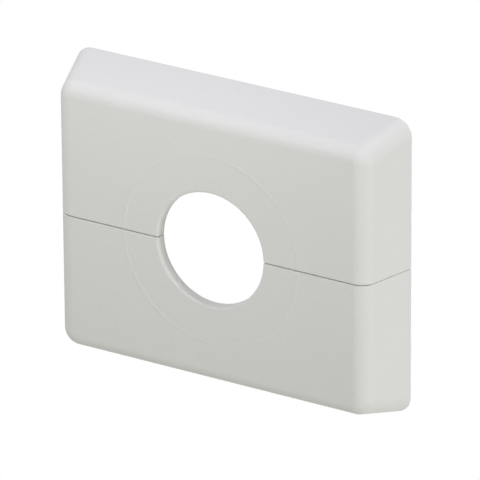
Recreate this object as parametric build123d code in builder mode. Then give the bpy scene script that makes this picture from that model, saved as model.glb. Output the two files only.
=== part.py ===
"""Split pipe rosette: a drafted, open-backed wall cover in two like halves that plug together round a pipe.

Frame: +Z up and the front face towards -Y. The origin is on the pipe's axis, in the plane of the
hollow's floor, which is the inside of the front wall. The back rim, which meets the building's wall,
is at the greatest Y. Millimetres and degrees.
"""

import os
from math import asin, cos, degrees, radians

from build123d import *

# The cover's outside, measured at the back rim
plate_width = 70.0
plate_height = 57.2
plate_depth = 11.3
side_draft = 15.0
side_edge_radius = 3.5
front_edge_radius = 3.1

# The moulded wall and the hollow behind it
wall = 2.0
inner_corner_radius = 1.5
inner_front_radius = 1.0

# The hole for the pipe, and the fine raised line round it
pipe_diameter = 21.3
pipe_clearance = 0.3
hole_edge_radius = 0.5
ring_diameter = 36.4
ring_width = 0.7
ring_height = 0.04

# The joint line between the halves, shut along the sides and eased open over the front wall
parting_gap = 0.04
parting_ease = 0.1
parting_ease_overrun = 0.6
parting_edge_radius = 0.2

# The tongue on one side of each half, and the loop on the other that takes its neighbour's tongue
tongue_spacing = 48.0
tongue_width = 6.0
tongue_thickness = 2.0
tongue_length = 5.0
tongue_root = 6.0
tongue_lead_in = 0.6
slip_clearance = 0.1
loop_wall = 1.5
loop_length = 6.0
loop_edge_radius = 0.5

# Places that follow from the sizes
hole_radius = pipe_diameter / 2 + pipe_clearance
hollow_depth = plate_depth - wall
wall_at_rim = wall / cos(radians(side_draft))
half_gap = parting_gap / 2
rounded_end = half_gap + parting_edge_radius
ring_radius = ring_diameter / 2
ring_end = rounded_end + parting_ease + parting_edge_radius
ring_end_angle = degrees(asin(ring_end / ring_radius))
tongue_place = tongue_spacing / 2
slot_width = tongue_width + 2 * slip_clearance
slot_depth = tongue_thickness + 2 * slip_clearance

rim_plane = Plane.XZ.offset(-hollow_depth)
floor_plane = Plane.XZ
tongue_plane = Plane.XZ.offset(-slip_clearance)
front_plane = Plane.XZ.offset(wall)
parting_plane = Plane.XY.offset(-half_gap)
ring_plane = Plane.XY.rotated((0, ring_end_angle, 0))


# The hollow: a drafted block that leaves the wall's thickness all round
with BuildPart() as hollow:
    with BuildSketch(rim_plane):
        Rectangle(plate_width - 2 * wall_at_rim, plate_height - 2 * wall_at_rim)
    extrude(amount=hollow_depth)
    draft(hollow.faces().filter_by(Axis.Y, reverse=True), rim_plane, side_draft)
    fillet(hollow.edges().group_by(Axis.Y)[1], inner_corner_radius)
    fillet(hollow.faces().sort_by(Axis.Y)[0].edges(), inner_front_radius)


# The whole cover, as it looks with both halves shut
with BuildPart() as cover:
    with BuildSketch(rim_plane):
        Rectangle(plate_width, plate_height)
    extrude(amount=plate_depth)
    draft(cover.faces().filter_by(Axis.Y, reverse=True), rim_plane, side_draft)
    fillet(cover.edges().group_by(Axis.Y)[1], side_edge_radius)
    fillet(cover.faces().sort_by(Axis.Y)[0].edges(), front_edge_radius)
    add(hollow.part, mode=Mode.SUBTRACT)
    with BuildSketch(front_plane):
        Circle(hole_radius)
    extrude(amount=-wall, mode=Mode.SUBTRACT)
    fillet(cover.edges().filter_by(GeomType.CIRCLE).sort_by(Axis.Y)[0], hole_edge_radius)


# The lower half: its share of the cover, with a tongue on the right and a loop on the left
with BuildPart() as lower_half:
    add(cover.part)
    split(bisect_by=parting_plane, keep=Keep.BOTTOM)

    # The front wall's end curves back from its neighbour, which leaves a fine shadow line
    with BuildSketch(Plane.YZ):
        with BuildLine():
            ease_start = (parting_ease_overrun, -half_gap)
            ease_end = (-wall, -half_gap - parting_ease)
            TangentArc(ease_start, ease_end, tangent=(-1, 0))
            Polyline(ease_end, (-wall, -half_gap), ease_start)
        make_face()
    extrude(amount=plate_width / 2, both=True, mode=Mode.SUBTRACT)

    # Rounded edges along the joint line, from the back rim over the front and into the hole
    joint_faces = lower_half.faces().filter_by_position(Axis.Z, -half_gap - parting_ease, 0)
    joint_edges = joint_faces.edges().group_by(Axis.Y)
    fillet(joint_edges[0] + joint_edges[-1], parting_edge_radius)

    # Half of the fine raised line, ending just short of the rounded edges
    with BuildSketch(ring_plane):
        with BuildLine():
            inner_foot = (ring_radius - ring_width / 2, -wall)
            outer_foot = (ring_radius + ring_width / 2, -wall)
            ThreePointArc(inner_foot, (ring_radius, -wall - ring_height), outer_foot)
            Polyline(outer_foot, (ring_radius, -wall + ring_width / 2), inner_foot)
        make_face()
    revolve(axis=Axis.Y, revolution_arc=180 - 2 * ring_end_angle)

    # Tongue: rooted on the hollow's floor, then standing clear of the neighbour's floor
    with BuildSketch(floor_plane):
        with Locations((tongue_place, -rounded_end)):
            Rectangle(tongue_width, tongue_root, align=(Align.CENTER, Align.MAX))
    extrude(amount=-(slip_clearance + tongue_thickness))
    with BuildSketch(tongue_plane):
        with Locations((tongue_place, -rounded_end)):
            Rectangle(tongue_width, rounded_end + tongue_length, align=(Align.CENTER, Align.MIN))
    extrude(amount=-tongue_thickness)
    chamfer(lower_half.faces().sort_by(Axis.Z)[-1].edges(), tongue_lead_in)

    # Loop: a bridge over the hollow's floor, open at both ends
    with BuildSketch(floor_plane):
        with Locations((-tongue_place, -rounded_end)):
            Rectangle(slot_width + 2 * loop_wall, loop_length, align=(Align.CENTER, Align.MAX))
    extrude(amount=-(slot_depth + loop_wall))
    fillet(lower_half.edges(Select.LAST).filter_by(Axis.Z).group_by(Axis.Y)[-1], loop_edge_radius)
    with BuildSketch(floor_plane):
        with Locations((-tongue_place, -rounded_end)):
            Rectangle(slot_width, loop_length, align=(Align.CENTER, Align.MAX))
    extrude(amount=-slot_depth, mode=Mode.SUBTRACT)
lower_half.part.label = "lower_half"


# The upper half: the same moulding, turned half a turn about the pipe's axis
with BuildPart() as upper_half:
    add(lower_half.part, rotation=(0, 180, 0))
upper_half.part.label = "upper_half"


os.makedirs("parts", exist_ok=True)
export_step(lower_half.part, "parts/lower_half.step")
export_step(upper_half.part, "parts/upper_half.step")
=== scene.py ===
"""Looks of a split pipe rosette: two like half covers of satin white plastic, shut round a pipe hole.

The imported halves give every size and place. This file gives their surfaces, the studio and the camera.
All lengths are metres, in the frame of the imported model: +Z up and the front face towards -Y.
"""

from __future__ import annotations

import logging
import math
from dataclasses import dataclass
from enum import Enum
from typing import Any, Mapping

import bmesh
import bpy
from mathutils import Matrix, Vector


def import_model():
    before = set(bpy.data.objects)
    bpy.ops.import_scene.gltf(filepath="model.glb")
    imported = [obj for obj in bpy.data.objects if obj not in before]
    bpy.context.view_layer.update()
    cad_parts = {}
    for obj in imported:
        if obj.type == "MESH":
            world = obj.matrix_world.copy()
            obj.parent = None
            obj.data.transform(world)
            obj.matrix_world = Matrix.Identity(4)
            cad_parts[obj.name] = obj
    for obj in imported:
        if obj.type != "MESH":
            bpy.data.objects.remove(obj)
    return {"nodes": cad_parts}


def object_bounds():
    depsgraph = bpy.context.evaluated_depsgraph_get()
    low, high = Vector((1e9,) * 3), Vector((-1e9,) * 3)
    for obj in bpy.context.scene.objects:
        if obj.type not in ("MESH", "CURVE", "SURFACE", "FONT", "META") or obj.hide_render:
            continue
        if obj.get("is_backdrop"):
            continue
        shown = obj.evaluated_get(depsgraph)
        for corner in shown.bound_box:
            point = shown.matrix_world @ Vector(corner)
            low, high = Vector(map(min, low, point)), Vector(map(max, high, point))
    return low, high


LOG = logging.getLogger("pipe_rosette")
MILLIMETRE = 0.001
PICTURE_WIDTH = 480

Number = int | float
Colour = tuple[float, float, float]
Point = tuple[float, float, float]

# Colours of the light
WHITE: Colour = (1.0, 1.0, 1.0)
CREAM: Colour = (1.0, 1.0, 0.95)
WARM: Colour = (0.96, 1.0, 0.77)
COOL: Colour = (0.85, 0.825, 1.0)

# Directions of a lamp's first side
ACROSS: Point = (1.0, 0.0, 0.0)
UPRIGHT: Point = (0.0, 0.0, 1.0)

# The strength at which a background is plain white to look at
WHITE_STRENGTH = 1.0

# A Mix node's colour sockets, by place, because its number sockets have the same names
MIX_FIRST = 6
MIX_SECOND = 7
MIX_RESULT = 2


def opaque(colour: Colour) -> tuple[float, float, float, float]:
    """Return a colour with full alpha, as a colour socket takes it."""
    return (*colour, 1.0)


class Wire:
    """A value in a shader, which Python sums can use: each sum adds its Math node."""

    def __init__(self, sheet: ShaderSheet, socket: bpy.types.NodeSocket | None) -> None:
        """Wrap a socket.

        Args:
            sheet: The node tree that the socket is in.
            socket: The output socket that carries the value, or None after the tree's last node.
        """
        self.sheet = sheet
        self.socket = socket

    def _sum(self, operation: str, first: Wire | Number, second: Wire | Number) -> Wire:
        """Add one Math node.

        Args:
            operation: The Math node's operation.
            first: The left-hand value.
            second: The right-hand value.

        Returns:
            The node's value.
        """
        return self.sheet.node("ShaderNodeMath", {"operation": operation}, {0: first, 1: second})

    def __add__(self, other: Wire | Number) -> Wire:
        """Return self + other."""
        return self._sum("ADD", self, other)

    def __radd__(self, other: Number) -> Wire:
        """Return other + self."""
        return self._sum("ADD", other, self)

    def __sub__(self, other: Wire | Number) -> Wire:
        """Return self - other."""
        return self._sum("SUBTRACT", self, other)

    def __rsub__(self, other: Number) -> Wire:
        """Return other - self."""
        return self._sum("SUBTRACT", other, self)

    def __mul__(self, other: Wire | Number) -> Wire:
        """Return self * other."""
        return self._sum("MULTIPLY", self, other)

    def __rmul__(self, other: Number) -> Wire:
        """Return other * self."""
        return self._sum("MULTIPLY", other, self)


class ShaderSheet:
    """A node tree, with one method that makes any node in it."""

    def __init__(self, tree: bpy.types.NodeTree) -> None:
        """Start from an empty tree.

        Args:
            tree: The node tree of a material or the world.
        """
        self.tree = tree
        self.tree.nodes.clear()

    def node(
        self,
        kind: str,
        settings: Mapping[str, Any] | None = None,
        inputs: Mapping[int | str, Any] | None = None,
        output: int | str = 0,
    ) -> Wire:
        """Make a node of any kind.

        Args:
            kind: The node's type.
            settings: The node's own settings, set before its sockets.
            inputs: The value or the wire of each input socket, by name or place.
            output: The output socket to return, by name or place.

        Returns:
            The chosen output.
        """
        made = self.tree.nodes.new(kind)
        for name, value in (settings or {}).items():
            setattr(made, name, value)
        for place, value in (inputs or {}).items():
            if isinstance(value, Wire):
                self.tree.links.new(value.socket, made.inputs[place])
            else:
                made.inputs[place].default_value = value
        return Wire(self, made.outputs[output] if made.outputs else None)


@dataclass(frozen=True)
class SatinPlastic:
    """Moulded white plastic with a fine satin grain.

    Attributes:
        name: The material's name.
        colour: Mean base colour, linear.
        colour_spread: Share by which the colour grows darker and lighter as the melt flowed.
        roughness: Mean roughness.
        roughness_spread: How far the roughness goes up and down with the flow.
        flow_size: Width of the flow's clouds.
        grain_size: Width of the mould's fine grain.
        grain_depth: Depth of that grain.
        cloud_layers: How many finer layers the flow and the grain have.
        cloud_fading: How strong each layer is beside the one before.
        index: Index of refraction.
    """

    name: str = "satin_white_plastic"
    colour: Colour = (0.690, 0.694, 0.678)
    colour_spread: float = 0.012
    roughness: float = 0.56
    roughness_spread: float = 0.06
    flow_size: float = 9.0 * MILLIMETRE
    grain_size: float = 0.8 * MILLIMETRE
    grain_depth: float = 0.06 * MILLIMETRE
    cloud_layers: float = 2.0
    cloud_fading: float = 0.6
    index: float = 1.48

    def material(self) -> bpy.types.Material:
        """Make the material.

        Returns:
            The finished material.
        """
        material = bpy.data.materials.new(self.name)
        material.use_nodes = True
        sheet = ShaderSheet(material.node_tree)
        place = sheet.node("ShaderNodeTexCoord", output="Object")
        flow = self._clouds(sheet, place, self.flow_size)
        grain = self._clouds(sheet, place, self.grain_size)
        dimples = {"Strength": 1.0, "Distance": self.grain_depth, "Height": grain}
        shader = sheet.node(
            "ShaderNodeBsdfPrincipled",
            {},
            {
                "Base Color": self._tone(sheet, flow),
                "Roughness": self.roughness + self.roughness_spread * (2.0 * flow - 1.0),
                "IOR": self.index,
                "Normal": sheet.node("ShaderNodeBump", {}, dimples),
            },
        )
        sheet.node("ShaderNodeOutputMaterial", {}, {"Surface": shader})
        return material

    def _clouds(self, sheet: ShaderSheet, place: Wire, size: float) -> Wire:
        """Make a cloudy value from 0 to 1.

        Args:
            sheet: The material's nodes.
            place: The point on the surface.
            size: Width of the clouds.

        Returns:
            The value, which is 0.5 on average.
        """
        layers = {"Detail": self.cloud_layers, "Roughness": self.cloud_fading}
        return sheet.node("ShaderNodeTexNoise", {}, {"Vector": place, "Scale": 1.0 / size, **layers})

    def _tone(self, sheet: ShaderSheet, flow: Wire) -> Wire:
        """Make the base colour.

        Args:
            sheet: The material's nodes.
            flow: The flow's clouds, from 0 to 1.

        Returns:
            The colour, a little darker or lighter with the flow.
        """
        darker = self._shade(1.0 - self.colour_spread)
        lighter = self._shade(1.0 + self.colour_spread)
        colours = {"Factor": flow, MIX_FIRST: opaque(darker), MIX_SECOND: opaque(lighter)}
        return sheet.node("ShaderNodeMix", {"data_type": "RGBA"}, colours, MIX_RESULT)

    def _shade(self, share: float) -> Colour:
        """Return the mean colour times a share."""
        red, green, blue = self.colour
        return (red * share, green * share, blue * share)


class Half(Enum):
    """The halves of the cover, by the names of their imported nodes."""

    LOWER = "lower_half"
    UPPER = "upper_half"


@dataclass(frozen=True)
class HalfCover:
    """One half of the cover.

    Attributes:
        half: Which half it is.
    """

    half: Half

    def dress(
        self, nodes: Mapping[str, bpy.types.Object], material: bpy.types.Material
    ) -> bpy.types.Object:
        """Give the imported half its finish.

        Args:
            nodes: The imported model's nodes.
            material: The finish, made once for both halves.

        Returns:
            The half's object.
        """
        piece = nodes[self.half.value]
        piece.data.materials.clear()
        piece.data.materials.append(material)
        return piece


@dataclass(frozen=True)
class Lamp:
    """A soft flat lamp that faces the middle of the cover.

    Attributes:
        name: The lamp's name.
        place: Where it hangs.
        along: Direction of its first side.
        sides: Lengths of its two sides.
        power: Its power in watts.
        colour: Its light's colour.
    """

    name: str
    place: Point
    along: Point
    sides: tuple[float, float]
    power: float
    colour: Colour = WHITE

    def hang(self) -> None:
        """Make the lamp, with its light going from its place towards the origin."""
        data = bpy.data.lights.new(self.name, "AREA")
        data.shape = "RECTANGLE"
        data.size, data.size_y = self.sides
        data.energy = self.power
        data.color = self.colour
        lamp = bpy.data.objects.new(self.name, data)
        back = Vector(self.place).normalized()
        along = Vector(self.along)
        first = (along - back * back.dot(along)).normalized()
        turn = Matrix((first, back.cross(first), back)).transposed()
        lamp.matrix_world = Matrix.Translation(self.place) @ turn.to_4x4()
        lamp.visible_camera = False
        bpy.context.scene.collection.objects.link(lamp)


@dataclass(frozen=True)
class Studio:
    """A white room with soft lamps.

    Attributes:
        floor_height: Height of the floor, below the hanging cover.
        floor_size: The length of the floor's side.
        floor_tone: How much light the floor gives back.
        room_light: Strength of the even light from all round.
        lamps: The soft lamps.
    """

    floor_height: float = -0.90
    floor_size: float = 6.0
    floor_tone: float = 0.80
    room_light: float = 0.42
    lamps: tuple[Lamp, ...] = (
        Lamp("front_lamp", (-0.020, -0.115, 0.110), ACROSS, sides=(0.12, 0.12), power=0.129),
        Lamp("bounce_strip", (0.0, -0.22, -0.30), ACROSS, sides=(0.50, 0.10), power=0.272, colour=WARM),
        Lamp("right_lamp", (0.55, -0.03, -0.05), UPRIGHT, sides=(0.11, 0.08), power=1.305, colour=CREAM),
        Lamp("sky_strip", (0.05, 0.09, 0.55), ACROSS, sides=(0.70, 0.08), power=1.065, colour=COOL),
        Lamp("back_lamp", (-0.11, 0.48, -0.10), UPRIGHT, sides=(0.10, 0.10), power=0.72),
    )

    def build(self) -> None:
        """Make the room, the floor and the lamps."""
        self._light_room()
        self._lay_floor()
        for lamp in self.lamps:
            lamp.hang()

    @staticmethod
    def _seen_directly(sheet: ShaderSheet) -> Wire:
        """Tell looking from lighting.

        Args:
            sheet: The nodes of the room or the floor.

        Returns:
            1 where the camera sees it, also in a gloss or through glass, and 0 where it lights the object.
        """
        camera = sheet.node("ShaderNodeLightPath", output="Is Camera Ray")
        glossy = sheet.node("ShaderNodeLightPath", output="Is Glossy Ray")
        transmitted = sheet.node("ShaderNodeLightPath", output="Is Transmission Ray")
        return camera + glossy + transmitted

    def _light_room(self) -> None:
        """Make the world: white to look at, and an even light on the object."""
        world = bpy.data.worlds.new("studio_room")
        world.use_nodes = True
        bpy.context.scene.world = world
        sheet = ShaderSheet(world.node_tree)
        seen = self._seen_directly(sheet)
        colour = opaque(WHITE)
        light = sheet.node("ShaderNodeBackground", {}, {"Color": colour, "Strength": self.room_light})
        white = sheet.node("ShaderNodeBackground", {}, {"Color": colour, "Strength": WHITE_STRENGTH})
        mixed = sheet.node("ShaderNodeMixShader", {}, {0: seen, 1: light, 2: white})
        sheet.node("ShaderNodeOutputWorld", {}, {"Surface": mixed})

    def _floor_material(self) -> bpy.types.Material:
        """Make the floor's material: white to look at, and pale to the lamps.

        Returns:
            The finished material.
        """
        material = bpy.data.materials.new("white_sweep")
        material.use_nodes = True
        sheet = ShaderSheet(material.node_tree)
        seen = self._seen_directly(sheet)
        tone = opaque((self.floor_tone, self.floor_tone, self.floor_tone))
        pale = sheet.node("ShaderNodeBsdfDiffuse", {}, {"Color": tone})
        white = sheet.node("ShaderNodeEmission", {}, {"Color": opaque(WHITE), "Strength": WHITE_STRENGTH})
        mixed = sheet.node("ShaderNodeMixShader", {}, {0: seen, 1: pale, 2: white})
        sheet.node("ShaderNodeOutputMaterial", {}, {"Surface": mixed})
        return material

    def _lay_floor(self) -> None:
        """Make the floor, one flat square."""
        mesh = bpy.data.meshes.new("floor")
        grid = bmesh.new()
        bmesh.ops.create_grid(grid, x_segments=1, y_segments=1, size=self.floor_size / 2)
        bmesh.ops.translate(grid, verts=grid.verts, vec=(0.0, 0.0, self.floor_height))
        grid.to_mesh(mesh)
        grid.free()
        mesh.materials.append(self._floor_material())
        floor = bpy.data.objects.new("floor", mesh)
        bpy.context.scene.collection.objects.link(floor)
        floor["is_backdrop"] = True


@dataclass(frozen=True)
class PhotoCamera:
    """The camera, where the photograph was taken from.

    Attributes:
        azimuth: Degrees to the right of the front.
        elevation: Degrees above the level.
        roll: Degrees that the picture is turned.
        distance: From the pipe's axis at the back rim.
        frame_width: Width of the picture there.
        right_of_centre: How far that point is right of the picture's middle, as a share of its width.
        above_centre: How far it is above the middle, as a share of the same width.
        sensor: Width of the sensor in millimetres.
        nearest: Distance at which the picture starts.
        farthest: Distance at which it ends, beyond the floor.
    """

    azimuth: float = 31.576
    elevation: float = 23.831
    roll: float = -0.391
    distance: float = 1.2377
    frame_width: float = 0.08640
    right_of_centre: float = 3.02 / PICTURE_WIDTH
    above_centre: float = 11.45 / PICTURE_WIDTH
    sensor: float = 36.0
    nearest: float = 0.01
    farthest: float = 20.0

    def place(self, rim_depth: float) -> None:
        """Make the camera and look through it.

        Args:
            rim_depth: The Y of the cover's back rim.
        """
        turn = math.radians(self.azimuth)
        lift = math.radians(self.elevation)
        back = Vector((math.sin(turn) * math.cos(lift), -math.cos(turn) * math.cos(lift), math.sin(lift)))
        level = (-back).to_track_quat("-Z", "Y").to_matrix().to_4x4()
        rolled = level @ Matrix.Rotation(math.radians(self.roll), 4, "Z")
        aside = rolled.to_3x3() @ Vector((self.right_of_centre, self.above_centre, 0.0))
        target = Vector((0.0, rim_depth, 0.0)) - aside * self.frame_width
        data = bpy.data.cameras.new("photo_camera")
        data.sensor_width = self.sensor
        data.lens = self.sensor * self.distance / self.frame_width
        data.clip_start = self.nearest
        data.clip_end = self.farthest
        camera = bpy.data.objects.new("photo_camera", data)
        camera.matrix_world = Matrix.Translation(target + back * self.distance) @ rolled
        bpy.context.scene.collection.objects.link(camera)
        bpy.context.scene.camera = camera


def main() -> None:
    """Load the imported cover, dress its halves, and set up the studio and the camera."""
    logging.basicConfig(level=logging.INFO, format="%(name)s: %(message)s")
    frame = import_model()
    cad_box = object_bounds()
    bpy.context.scene.view_settings.view_transform = "Standard"

    material = SatinPlastic().material()
    for half in Half:
        piece = HalfCover(half).dress(frame["nodes"], material)
        LOG.info("dressed %s", piece.name)

    Studio().build()
    PhotoCamera().place(rim_depth=cad_box[1].y)


if __name__ == "__main__":
    main()
